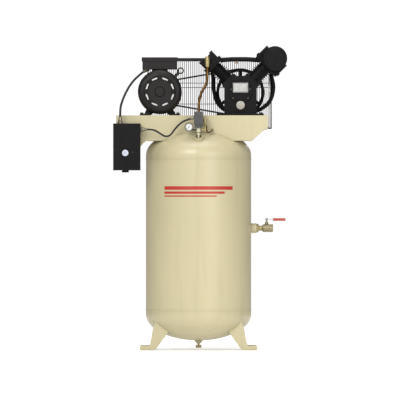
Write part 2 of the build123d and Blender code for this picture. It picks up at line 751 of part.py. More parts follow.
def piston(at, axis, side, bore, pin_r):
    """A piston with its gudgeon pin, on its axis at the rest position."""
    radius = bore - PISTON_GAP
    wall = radius - 5.5
    base = at + axis * (PIN_REST - SKIRT)
    turned(base, side, axis, [
        (0, SKIRT + 14),
        (wall, SKIRT + 14),
        (wall, 0),
        (radius, 0),
        (radius, SKIRT + 13),
        (radius - 1.5, SKIRT + 13),
        (radius - 1.5, SKIRT + 15),
        (radius, SKIRT + 15),
        (radius, SKIRT + CROWN),
        (0, SKIRT + CROWN),
    ])
    bar(at + axis * PIN_REST + BACK * (wall + 2), -BACK, pin_r, 2 * wall + 4)


def connecting_rod(at, axis, eye_r, eye_bore, small_r, pin_r):
    """A connecting rod from the gudgeon pin to the line of the crank pin."""
    small = at + axis * PIN_REST
    big = Vector(CRANK_PIN.X, at.Y, CRANK_PIN.Z)
    run = big - small
    for centre, radius, thickness in ((small, small_r, 16), (big, eye_r, 18)):
        bar(centre + BACK * thickness / 2, -BACK, radius, thickness)
    along = run.normalized()
    reach = run.length - small_r - eye_r + 6
    middle = Plane(origin=small + along * (small_r - 3 + reach / 2), x_dir=along, z_dir=-BACK)
    with BuildSketch(middle.offset(-4)) as shank:
        Rectangle(reach, 10)
    extrude(shank.sketch, amount=8)
    bar(small + BACK * 20, -BACK, pin_r + RUNNING_GAP, 40, mode=Mode.SUBTRACT)
    bar(big + BACK * 20, -BACK, eye_bore, 40, mode=Mode.SUBTRACT)


with BuildPart() as low_piston:
    piston(LOW_AT, LOW_AXIS, LOW_SIDE, LOW_BORE_R, 8)
finish(low_piston, "low_piston")

with BuildPart() as high_piston:
    piston(HIGH_AT, HIGH_AXIS, HIGH_SIDE, HIGH_BORE_R, 5)
finish(high_piston, "high_piston")

with BuildPart() as low_rod:
    connecting_rod(LOW_AT, LOW_AXIS, 22, 14.05, 13, 8)
finish(low_rod, "low_rod")

with BuildPart() as high_rod:
    connecting_rod(HIGH_AT, HIGH_AXIS, 22, 14.05, 9.5, 5)
finish(high_rod, "high_rod")

# ---------------------------------------------------------------- pump pipework and filter

COOLER_R = 11.5
LINK_PIPE_R = 13.5
TUBE_WALL = 1.5
COOLER_Y = 148.0
COOLER_LOOP = [
    (418, 84, 1670),
    (418, COOLER_Y, 1670),
    (422, COOLER_Y, 1600),
    (440, COOLER_Y, 1525),
    (420, COOLER_Y, 1440),
    (350, COOLER_Y, 1387),
    (250, COOLER_Y, 1371),
    (158, COOLER_Y, 1385),
    (104, COOLER_Y, 1436),
    (86, COOLER_Y, 1520),
    (84, COOLER_Y, 1600),
    (66, COOLER_Y, 1672),
    (66, 31, 1672),
]
TOP_PIPE = [(125, -8, 1680), (190, -8, 1685), (290, -8, 1685), (357, -8, 1679)]

with BuildPart() as intercooler:
    piped(COOLER_LOOP, COOLER_R, COOLER_R - TUBE_WALL)
    piped(TOP_PIPE, LINK_PIPE_R, LINK_PIPE_R - TUBE_WALL)
    fitted(low_head, low_cylinder, high_head, high_cylinder, valve_plates)
finish(intercooler, "intercooler")

FILTER_X = 442.0
FILTER_Z = 1688.0
FILTER_R = 71.0
FILTER_BACK = -86.0
FILTER_FRONT = -176.0

with BuildPart() as air_filter:
    turned(Vector(FILTER_X, 0, FILTER_Z), RIGHT, BACK, [
        (0, FILTER_FRONT - 7),
        (6, FILTER_FRONT - 7),
        (6, FILTER_FRONT),
        (52, FILTER_FRONT),
        (56, FILTER_FRONT + 3),
        (66, FILTER_FRONT + 3),
        (FILTER_R - 1, FILTER_FRONT + 8),
        (FILTER_R - 1, FILTER_FRONT + 24),
        (FILTER_R - 4, FILTER_FRONT + 26),
        (FILTER_R - 4, FILTER_BACK - 22),
        (FILTER_R, FILTER_BACK - 20),
        (FILTER_R, FILTER_BACK - 4),
        (FILTER_R - 5, FILTER_BACK),
        (0, FILTER_BACK),
    ])
    bar(LOW_AT + LOW_AXIS * FILTER_S - BACK * (82 + LOW_Y - 2), -BACK, FILTER_NECK_R, 10)
finish(air_filter, "air_filter")

# ---------------------------------------------------------------- motor fittings

JBOX_LEFT = -325.0
JBOX_RIGHT = -125.0
JBOX_BOTTOM = 1626.0
JBOX_TOP = 1692.0
JBOX_FRONT = -90.0
JBOX_BACK = 40.0
JBOX_WALL = 3.0
LID_BOTTOM = 1673.0
LID_LIP = 4.0

with BuildPart() as junction_box:
    block((JBOX_LEFT, JBOX_FRONT, JBOX_BOTTOM), (JBOX_RIGHT, JBOX_BACK, JBOX_TOP))
    block(
        (JBOX_LEFT + JBOX_WALL, JBOX_FRONT + JBOX_WALL, JBOX_BOTTOM + JBOX_WALL),
        (JBOX_RIGHT - JBOX_WALL, JBOX_BACK - JBOX_WALL, JBOX_TOP + 1),
        mode=Mode.SUBTRACT,
    )
    block((-270, -60, 1560), (-178, 10, JBOX_BOTTOM))
    bar((MOTOR_X, 60, SHAFT_Z), -BACK, MOTOR_R, 160, mode=Mode.SUBTRACT)
finish(junction_box, "junction_box")

with BuildPart() as junction_box_lid:
    block(
        (JBOX_LEFT - LID_LIP, JBOX_FRONT - LID_LIP, LID_BOTTOM),
        (JBOX_RIGHT + LID_LIP, JBOX_BACK + LID_LIP, JBOX_TOP + 3),
    )
    block((JBOX_LEFT, JBOX_FRONT, LID_BOTTOM - 1), (JBOX_RIGHT, JBOX_BACK, JBOX_TOP), mode=Mode.SUBTRACT)
    fillet(junction_box_lid.edges().filter_by(Axis.Z).group_by(SortBy.LENGTH)[-1], 3)
finish(junction_box_lid, "junction_box_lid")

EYE_X = -104.0
EYE_Z = 1619.0
EYE_R = 15.5
EYE_WIRE_R = 4.0
EYE_Y = -10.0
EYE_DIRECTION = Vector(EYE_X - MOTOR_X, 0, EYE_Z - SHAFT_Z).normalized()

with BuildPart() as lifting_eye:
    bar((MOTOR_X, EYE_Y, SHAFT_Z), EYE_DIRECTION, 9, 158)
    bar((MOTOR_X, EYE_Y, SHAFT_Z), EYE_DIRECTION, 15, 128)
    bar((MOTOR_X, 60, SHAFT_Z), -BACK, MOTOR_R, 160, mode=Mode.SUBTRACT)
    with BuildSketch(crossing(Vector(EYE_X, EYE_Y, EYE_Z), RIGHT, BACK)) as eye_section:
        with Locations((EYE_R, 0)):
            Circle(EYE_WIRE_R)
    revolve(eye_section.sketch, axis=Axis((EYE_X, EYE_Y, EYE_Z), BACK))
finish(lifting_eye, "lifting_eye")

# ---------------------------------------------------------------- belt guard

GUARD_SHEET = 3.0
GUARD_LIP = 18.0
GUARD_STRIP = 14.0
LIP_BOTTOM = GUARD_TOP - GUARD_LIP
TOP_SHEET = GUARD_TOP - GUARD_SHEET
REAR_FACE = GUARD_BACK - GUARD_SHEET

with BuildPart() as guard_frame:
    block((GUARD_LEFT, GUARD_FRONT, TOP_SHEET), (GUARD_RIGHT, GUARD_BACK, GUARD_TOP))
    block((GUARD_LEFT, GUARD_FRONT, LIP_BOTTOM), (GUARD_RIGHT, GUARD_FRONT + GUARD_SHEET, TOP_SHEET))
    block((GUARD_LEFT, REAR_FACE, LIP_BOTTOM), (GUARD_RIGHT, GUARD_BACK, TOP_SHEET))
    block((GUARD_LEFT, REAR_FACE, GUARD_BOTTOM), (GUARD_RIGHT, GUARD_BACK, GUARD_BOTTOM + GUARD_STRIP))
    for side_x in (GUARD_LEFT, GUARD_RIGHT - GUARD_SHEET):
        for strip_y in (GUARD_FRONT, GUARD_BACK - GUARD_STRIP):
            block(
                (side_x, strip_y, GUARD_BOTTOM),
                (side_x + GUARD_SHEET, strip_y + GUARD_STRIP, TOP_SHEET),
            )
        block((side_x, GUARD_FRONT, GUARD_BOTTOM), (side_x + GUARD_SHEET, GUARD_BACK, GUARD_BOTTOM + 6))
    for bracket_x in (-292, 384):
        block((bracket_x, DECK_HALF_DEPTH, GUARD_BOTTOM), (bracket_x + 16, GUARD_BACK, GUARD_BOTTOM + 5))
        block((bracket_x, DECK_HALF_DEPTH, GUARD_BOTTOM), (bracket_x + 16, DECK_HALF_DEPTH + 4, 1320))
finish(guard_frame, "guard_frame")

MESH_RAILS = (1290.0, 1429.0, 1525.0, 1551.0, 1676.0)
MESH_BOTTOM = GUARD_BOTTOM + GUARD_STRIP - 6
MESH_TOP = TOP_SHEET


def wire_panel(plane, low, high, wide):
    """A flat panel of upright wires between its cross wires, drawn on a plane."""
    with BuildSketch(plane) as panel:
        with Locations(((low + high) / 2, (MESH_BOTTOM + MESH_TOP) / 2)):
            Rectangle(high - low, MESH_TOP - MESH_BOTTOM)
        columns = int((high - low - WIRE) / WIRE_PITCH)
        first = (low + high) / 2 - (columns - 1) * WIRE_PITCH / 2
        spots = [first + index * WIRE_PITCH for index in range(columns)]
        for bottom, top in zip(MESH_RAILS, MESH_RAILS[1:]):
            height = top - bottom - WIRE
            with Locations(*[(x, (bottom + top) / 2) for x in spots]):
                Rectangle(WIRE_PITCH - WIRE, height, mode=Mode.SUBTRACT)
    extrude(panel.sketch, amount=wide)


with BuildPart() as guard_mesh:
    wire_panel(front(REAR_FACE), GUARD_LEFT + GUARD_SHEET, GUARD_RIGHT - GUARD_SHEET, WIRE)
    side_low = GUARD_FRONT + GUARD_SHEET
    side_high = REAR_FACE - WIRE - 0.5
    for side_x in (GUARD_LEFT + GUARD_SHEET, GUARD_RIGHT - GUARD_SHEET - WIRE):
        side_plane = Plane(origin=(side_x, 0, 0), x_dir=(0, 1, 0), z_dir=(1, 0, 0))
        wire_panel(side_plane, side_low, side_high, WIRE)
    block(
        (GUARD_RIGHT - 20, GUARD_FRONT, GUARD_BOTTOM + 6.4),
        (GUARD_RIGHT - GUARD_SHEET - WIRE - 0.4, GUARD_FRONT + 2, LIP_BOTTOM - 0.4),
    )
finish(guard_mesh, "guard_mesh")

# ---------------------------------------------------------------- controls

BLOCK_HALF = 10.0
BLOCK_BOTTOM = 1262.0
ARM_Z = 1274.0

with BuildPart() as check_valve:
    bar((0, BUNG_Y, BUNG_Z - 6), UP, 8, BLOCK_BOTTOM - BUNG_Z + 6)
    hexagon((0, BUNG_Y, BUNG_Z + 18), UP, 24, 12)
    block(
        (-BLOCK_HALF, BUNG_Y - BLOCK_HALF, BLOCK_BOTTOM),
        (BLOCK_HALF, BUNG_Y + BLOCK_HALF, MANIFOLD_TOP),
    )
    tank_body()
    fitted(tank_bungs)
finish(check_valve, "check_valve")

SWITCH_HALF = 26.0
SWITCH_FRONT = -272.0
SWITCH_BACK = -210.0
SWITCH_BASE = 1304.0

with BuildPart() as pressure_switch:
    block((-SWITCH_HALF + 3, SWITCH_FRONT + 4, MANIFOLD_TOP), (SWITCH_HALF - 3, SWITCH_BACK - 2, SWITCH_BASE))
    block((-SWITCH_HALF, SWITCH_FRONT, SWITCH_BASE), (SWITCH_HALF, SWITCH_BACK, SWITCH_TOP))
    fillet(pressure_switch.faces().sort_by(Axis.Z)[-1].edges(), 4)
finish(pressure_switch, "pressure_switch")

GAUGE_FRONT = -270.0
GAUGE_BACK = -244.0
DIAL_DEPTH = 6.0
DIAL_R = 21.5
GAUGE_STEM_Y = -248.0

with BuildPart() as gauge_case:
    bar((GAUGE_X, GAUGE_BACK, GAUGE_Z), -BACK, GAUGE_R, GAUGE_BACK - GAUGE_FRONT)
    ring((GAUGE_X, GAUGE_FRONT + 5, GAUGE_Z), -BACK, GAUGE_R + 1, DIAL_R, 5)
    bar((GAUGE_X, GAUGE_FRONT + DIAL_DEPTH, GAUGE_Z), -BACK, DIAL_R, 20, mode=Mode.SUBTRACT)
    bar((GAUGE_X + 12, GAUGE_STEM_Y - 4, ARM_Z), RIGHT, 5, -BLOCK_HALF - GAUGE_X - 12)
    bar((GAUGE_X, GAUGE_FRONT + DIAL_DEPTH, GAUGE_Z), -BACK, DIAL_R, 20, mode=Mode.SUBTRACT)
finish(gauge_case, "gauge_case")

with BuildPart() as gauge_dial:
    ring((GAUGE_X, GAUGE_FRONT + DIAL_DEPTH, GAUGE_Z), -BACK, DIAL_R, 1.6, 1)
finish(gauge_dial, "gauge_dial")

POINTER_Y = GAUGE_FRONT + DIAL_DEPTH - 1.8
POINTER_LENGTH = 16.0

with BuildPart() as gauge_pointer:
    bar((GAUGE_X, GAUGE_FRONT + DIAL_DEPTH - 0.3, GAUGE_Z), -BACK, 1.5, 3)
    with BuildSketch(
        Plane(origin=(GAUGE_X, POINTER_Y, GAUGE_Z), x_dir=(-1, 0, -1), z_dir=(0, -1, 0))
    ) as pointer_shape:
        with BuildLine():
            Polyline((-6, -1.2), (0, -1.2), (POINTER_LENGTH, -0.3), (POINTER_LENGTH, 0.3), (0, 1.2), (-6, 1.2),
                     close=True)
        make_face()
    extrude(pointer_shape.sketch, amount=0.8)
finish(gauge_pointer, "gauge_pointer")

VALVE_TOP = 1344.0

with BuildPart() as relief_valve:
    turned(Vector(VALVE_X, BUNG_Y, 0), RIGHT, UP, [
        (0, 1265),
        (7, 1265),
        (7, 1284),
        (5, 1286),
        (5, 1308),
        (8.5, 1311),
        (8.5, VALVE_TOP - 4),
        (6, VALVE_TOP),
        (1.6, VALVE_TOP),
        (1.6, VALVE_TOP - 12),
        (0, VALVE_TOP - 12),
    ])
    bar((BLOCK_HALF, BUNG_Y, ARM_Z), RIGHT, 5, VALVE_X - BLOCK_HALF)
finish(relief_valve, "relief_valve")

RELIEF_RING_R = 5.5

with BuildPart() as relief_ring:
    bar((VALVE_X, BUNG_Y, VALVE_TOP - 11), UP, 1.5, 12.5)
    with BuildSketch(crossing(Vector(VALVE_X, BUNG_Y, VALVE_TOP + 7.5), RIGHT, BACK)) as ring_section:
        with Locations((RELIEF_RING_R, 0)):
            Circle(1.2)
    revolve(ring_section.sketch, axis=Axis((VALVE_X, BUNG_Y, VALVE_TOP + 7.5), BACK))
finish(relief_ring, "relief_ring")

# ---------------------------------------------------------------- pipework

DISCHARGE_R = 8.0
ELBOW_X = 51.0
ELBOW_Y = -99.0
ELBOW_Z = 1675.0
DISCHARGE_ROUTE = [
    (ELBOW_X, ELBOW_Y, 1648),
    (ELBOW_X, ELBOW_Y, 1590),
    (ELBOW_X - 4, ELBOW_Y - 14, 1540),
    (16, -158, 1492),
    (2, -186, 1440),
    (0, -186, 1360),
    (0, -186, ARM_Z),
    (0, BUNG_Y + BLOCK_HALF, ARM_Z),
]

with BuildPart() as discharge_tube:
    piped(DISCHARGE_ROUTE, DISCHARGE_R, DISCHARGE_R - TUBE_WALL)
finish(discharge_tube, "discharge_tube")

UNLOADER_R = 3.2
UNLOADER_WALL = 1.0
UNLOADER_ROUTE = [
    (34, -222, 1300),
    (46, -222, 1300),
    (48, -222, 1256),
    (72, -198, 1262),
    (80, -186, 1276),
    (80, -172, 1276),
]

with BuildPart() as unloader_tube:
    piped(UNLOADER_ROUTE, UNLOADER_R, UNLOADER_R - UNLOADER_WALL)
finish(unloader_tube, "unloader_tube")

NIPPLE_R = 15.0
SOCKET_X = 371.0

with BuildPart() as pipe_fittings:
    bar((ELBOW_X, ELBOW_Y, 1650), UP, 16, 35)
    with Locations((ELBOW_X, ELBOW_Y, 1685)):
        Sphere(16)
    bar((ELBOW_X, ELBOW_Y, ELBOW_Z), BACK, 14, 30)
    hexagon((ELBOW_X, ELBOW_Y, 1640), UP, 26, 10)
    bar((ELBOW_X, ELBOW_Y, 1630), UP, DISCHARGE_R, 18, mode=Mode.SUBTRACT)
    bar((220, -8, 1658), UP, 5, 14)
    hexagon((220, -8, 1662), UP, 14, 6)
    bar((0, BUNG_Y + BLOCK_HALF, ARM_Z), BACK, 11, 9)
    bar((0, BUNG_Y, ARM_Z), BACK, DISCHARGE_R, 30, mode=Mode.SUBTRACT)
    bar((SWITCH_HALF - 3, -222, 1300), RIGHT, 6, 11)
    bar((80, -DECK_HALF_DEPTH, 1276), -BACK, 7, 9)
    bar((TANK_R + 11, 0, OUTLET_Z), RIGHT, NIPPLE_R, SOCKET_X + 8 - TANK_R - 11)
    hexagon((TANK_R + 31, 0, OUTLET_Z), RIGHT, 42, 12)
    bar((TANK_R, 0, OUTLET_Z), RIGHT, OUTLET_BORE_R, 90, mode=Mode.SUBTRACT)
    fitted(pressure_switch, intercooler)
finish(pipe_fittings, "pipe_fittings")

# ---------------------------------------------------------------- starter

BOX_WALL = 2.0
COVER_SEAM = BOX_FRONT + 8
BUTTON_HOLE_R = BUTTON_R + 0.3
BUTTON_NOSE = BOX_FRONT - 9

with BuildPart() as starter_box:
    block((BOX_LEFT, COVER_SEAM, BOX_BOTTOM), (BOX_RIGHT, BOX_BACK, BOX_TOP))
    block(
        (BOX_LEFT + BOX_WALL, COVER_SEAM - 1, BOX_BOTTOM + BOX_WALL),
        (BOX_RIGHT - BOX_WALL, BOX_BACK - BOX_WALL, BOX_TOP - BOX_WALL),
        mode=Mode.SUBTRACT,
    )
    bar((BUTTON_X, -226, BOX_BOTTOM - 12), UP, 20, 12)
finish(starter_box, "starter_box")

with BuildPart() as starter_cover:
    block((BOX_LEFT, BOX_FRONT, BOX_BOTTOM), (BOX_RIGHT, COVER_SEAM, BOX_TOP))
    fillet(starter_cover.faces().sort_by(Axis.Y)[0].edges(), 3)
    block(
        (BOX_LEFT + BOX_WALL, BOX_FRONT + BOX_WALL, BOX_BOTTOM + BOX_WALL),
        (BOX_RIGHT - BOX_WALL, COVER_SEAM + 1, BOX_TOP - BOX_WALL),
        mode=Mode.SUBTRACT,
    )
    ring((BUTTON_X, BOX_FRONT, BUTTON_Z), -BACK, BUTTON_R + 5, BUTTON_R + 0.3, 3)
    bar((BUTTON_X, BOX_FRONT + 10, BUTTON_Z), -BACK, BUTTON_HOLE_R, 20, mode=Mode.SUBTRACT)
finish(starter_cover, "starter_cover")

with BuildPart() as reset_button:
    bar((BUTTON_X, BUTTON_NOSE + 22, BUTTON_Z), -BACK, BUTTON_R, 22)
    fillet(reset_button.faces().sort_by(Axis.Y)[0].edges(), 3)
    bar((BUTTON_X, BOX_FRONT + 5, BUTTON_Z), -BACK, BUTTON_R + 3, 2.5)
    bar((BUTTON_X, BUTTON_NOSE + 2, BUTTON_Z), -BACK, 8, 3, mode=Mode.SUBTRACT)
finish(reset_button, "reset_button")


def gland(tip, inwards, length, nut_flats, throat):
    """A cable gland: a nut against the box and a taper to the cable's radius."""
    start = tip + inwards * length
    side = inwards.cross(BACK if abs(inwards.Y) < 0.5 else RIGHT).normalized()
    turned(start, side, -inwards, [
        (0, 0),
        (nut_flats * 0.42, 0),
        (nut_flats * 0.42, length * 0.55),
        (throat, length),
        (0, length),
    ])
    hexagon(start, -inwards, nut_flats, length * 0.32)


def first_run(route):
    """The direction of a route's first run."""
    return (Vector(*route[1]) - Vector(*route[0])).normalized()


with BuildPart() as cable_glands:
    gland(Vector(*MOTOR_CABLE_ROUTE[0]), -first_run(MOTOR_CABLE_ROUTE), 34, 30, MOTOR_CABLE_D / 2 + 2)
    gland(Vector(*MOTOR_CABLE_ROUTE[-1]), -UP, MOTOR_CABLE_ROUTE[-1][2] - BOX_TOP, 26, MOTOR_CABLE_D / 2 + 2)
    gland(Vector(*SWITCH_CABLE_ROUTE[0]), -RIGHT, SWITCH_CABLE_ROUTE[0][0] - BOX_RIGHT, 27, SWITCH_CABLE_D / 2 + 2)
    gland(Vector(*SWITCH_CABLE_ROUTE[-1]), -first_run(SWITCH_CABLE_ROUTE[::-1]), 24, 20, SWITCH_CABLE_D / 2 + 2)
    fitted(junction_box, pressure_switch)
finish(cable_glands, "cable_glands")

with BuildPart() as motor_cable:
    motor_cable_length = piped(MOTOR_CABLE_ROUTE, MOTOR_CABLE_D / 2)
finish(motor_cable, "motor_cable")

with BuildPart() as switch_cable:
    switch_cable_length = piped(SWITCH_CABLE_ROUTE, SWITCH_CABLE_D / 2)
finish(switch_cable, "switch_cable")

for cable, route, length, diameter in (
    (motor_cable, MOTOR_CABLE_ROUTE, motor_cable_length, MOTOR_CABLE_D),
    (switch_cable, SWITCH_CABLE_ROUTE, switch_cable_length, SWITCH_CABLE_D),
):
    print(cable.part.label, "radii in diameters", [round(r / diameter, 1) for r in corner_radii(route)])
    section_volume = math.pi * diameter**2 / 4 * length
    print(cable.part.label, "length", round(length), "volume over section volume",
          round(cable.part.volume / section_volume, 4))

# ---------------------------------------------------------------- outlet valve

BALL_R = 16.0
BALL_FLAT = 12.5
STEM_R = 5.0
PORT_R = 12.2
PORT_DEPTH = 18.0
LEVER_Z = 755.0
LEVER_THICKNESS = 3.0
STEM_FOOT = OUTLET_Z + BALL_FLAT

with BuildPart() as ball_valve_body:
    turned(Vector(0, 0, OUTLET_Z), BACK, RIGHT, [
        (0, SOCKET_X),
        (20, SOCKET_X),
        (23, SOCKET_X + 4),
        (23, OUTLET_END - 2),
        (21, OUTLET_END),
        (0, OUTLET_END),
    ])
    bar((STEM_X, 0, OUTLET_Z), UP, 10, 35)
    with Locations((STEM_X, 0, OUTLET_Z)):
        Sphere(BALL_R + 0.3, mode=Mode.SUBTRACT)
    bar((STEM_X, 0, OUTLET_Z), UP, STEM_R + RUNNING_GAP, 50, mode=Mode.SUBTRACT)
    bar((SOCKET_X - 1, 0, OUTLET_Z), RIGHT, OUTLET_BORE_R, 80, mode=Mode.SUBTRACT)
    bar((SOCKET_X - 1, 0, OUTLET_Z), RIGHT, NIPPLE_R, 9, mode=Mode.SUBTRACT)
    bar((OUTLET_END - PORT_DEPTH, 0, OUTLET_Z), RIGHT, PORT_R, PORT_DEPTH + 1, mode=Mode.SUBTRACT)
finish(ball_valve_body, "ball_valve_body")

with BuildPart() as valve_ball:
    with Locations((STEM_X, 0, OUTLET_Z)):
        Sphere(BALL_R)
        Cylinder(OUTLET_BORE_R, 40, rotation=(0, 90, 0), mode=Mode.SUBTRACT)
    block((STEM_X - 20, -20, STEM_FOOT), (STEM_X + 20, 20, STEM_FOOT + 20), mode=Mode.SUBTRACT)
finish(valve_ball, "valve_ball")

with BuildPart() as valve_lever:
    bar((STEM_X, 0, STEM_FOOT), UP, STEM_R, LEVER_Z - STEM_FOOT)
    block((STEM_X - 10, -8, LEVER_Z), (498, 8, LEVER_Z + LEVER_THICKNESS))
    hexagon((STEM_X, 0, LEVER_Z + LEVER_THICKNESS), UP, 13, 5)
finish(valve_lever, "valve_lever")

with BuildPart() as lever_grip:
    block((432, -11, 748), (504, 11, 764))
    fillet(lever_grip.edges().filter_by(Axis.X), 5)
    fillet(lever_grip.faces().sort_by(Axis.X)[-1].edges(), 3)
    fitted(valve_lever)
finish(lever_grip, "lever_grip")

# ---------------------------------------------------------------- drain

COCK_BOTTOM = 31.0
WING_BOTTOM = 12.0

with BuildPart() as drain_cock:
    turned(Vector(0, 0, 0), RIGHT, UP, [
        (4.05, COCK_BOTTOM),
        (6, COCK_BOTTOM),
        (7, COCK_BOTTOM + 2),
        (7, 38),
        (9, 38),
        (9, 52),
        (0, 52),
        (0, 42),
        (4.05, 42),
    ])
finish(drain_cock, "drain_cock")

with BuildPart() as drain_handle:
    bar((0, 0, WING_BOTTOM), UP, 4, 29)
    block((-17, -2.5, WING_BOTTOM), (17, 2.5, COCK_BOTTOM - 1.5))
    fillet(drain_handle.edges().filter_by(Axis.Y), 2.2)
finish(drain_handle, "drain_handle")

# ---------------------------------------------------------------- fasteners

BOLT_R = 5.0


def deck_bolt(x, y, flange_top):
    """A bolt, its head on a foot and its nut under the platform."""
    bar((x, y, DECK_Z - DECK_PLATE - 10), UP, BOLT_R, flange_top - DECK_Z + DECK_PLATE + 10)
    hexagon((x, y, flange_top), UP, 16, 7)
    hexagon((x, y, DECK_Z - DECK_PLATE - 8), UP, 16, 8)


with BuildPart() as fasteners:
    for x, y in CRANK_SLOTS:
        deck_bolt(CRANK_X + x, y, DECK_Z + 12)
    for x, y in MOTOR_SLOTS:
        deck_bolt(x, y, DECK_Z + 11)
    for at, axis, side, top_s, reach in (
        (LOW_AT, LOW_AXIS, LOW_SIDE, LOW_HEAD_TOP, LOW_BOLT_REACH),
        (HIGH_AT, HIGH_AXIS, HIGH_SIDE, HIGH_HEAD_TOP, HIGH_BOLT_REACH),
    ):
        for point in head_bolt_points(at, axis, side, top_s, reach):
            bar(point, -axis, HEAD_BOLT_R, 28)
            hexagon(point, axis, 18, 8)
    for x, z in cover_bolt_points():
        bar((CRANK_X + x, COVER_FACE, SHAFT_Z + z), BACK, 3, 9)
        hexagon((CRANK_X + x, COVER_FACE, SHAFT_Z + z), -BACK, 10, 4)
finish(fasteners, "fasteners")
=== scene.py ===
import json
import math

import bmesh
import bpy
from mathutils import Matrix, Vector


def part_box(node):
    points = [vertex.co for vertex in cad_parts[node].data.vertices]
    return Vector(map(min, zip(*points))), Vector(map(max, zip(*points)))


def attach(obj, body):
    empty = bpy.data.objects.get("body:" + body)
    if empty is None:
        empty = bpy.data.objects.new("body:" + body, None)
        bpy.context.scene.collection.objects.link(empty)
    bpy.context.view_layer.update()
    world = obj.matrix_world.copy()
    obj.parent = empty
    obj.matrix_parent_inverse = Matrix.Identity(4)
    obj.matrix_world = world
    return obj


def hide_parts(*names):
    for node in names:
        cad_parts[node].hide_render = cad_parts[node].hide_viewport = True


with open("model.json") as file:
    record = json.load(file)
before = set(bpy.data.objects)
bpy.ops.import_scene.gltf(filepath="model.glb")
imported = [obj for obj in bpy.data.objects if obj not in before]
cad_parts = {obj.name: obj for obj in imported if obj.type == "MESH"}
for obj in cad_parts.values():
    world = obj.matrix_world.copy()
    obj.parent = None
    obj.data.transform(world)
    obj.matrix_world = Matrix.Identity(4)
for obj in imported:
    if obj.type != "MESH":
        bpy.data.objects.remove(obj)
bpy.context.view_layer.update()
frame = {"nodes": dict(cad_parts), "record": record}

# Vertical tank air compressor: looks. Metres, +Z up, the front faces -Y.

NODES = frame["nodes"]
Z = Vector((0, 0, 1))

# ---------------------------------------------------------------- camera

VIEW_WIDTH = 2.32
CAMERA_DISTANCE = 40.0
CAMERA_X = 0.0084
CAMERA_Z = 0.869
SENSOR = 36.0


def make_camera():
    """A long lens, level with the middle of the tank, straight in front."""
    data = bpy.data.cameras.new("camera")
    data.sensor_width = SENSOR
    data.lens = SENSOR * CAMERA_DISTANCE / VIEW_WIDTH
    data.clip_start = 1.0
    data.clip_end = 200.0
    camera = bpy.data.objects.new("camera", data)
    camera.location = (CAMERA_X, -CAMERA_DISTANCE, CAMERA_Z)
    camera.rotation_euler = (math.pi / 2, 0, 0)
    bpy.context.scene.collection.objects.link(camera)
    bpy.context.scene.camera = camera


make_camera()

# ---------------------------------------------------------------- materials


def linear(*colour):
    """An sRGB colour of 0 to 255 as linear RGBA."""
    parts = [c / 255 for c in colour]
    return [p / 12.92 if p <= 0.04045 else ((p + 0.055) / 1.055) ** 2.4 for p in parts] + [1.0]


NOISE_ROUGHNESS = 0.55


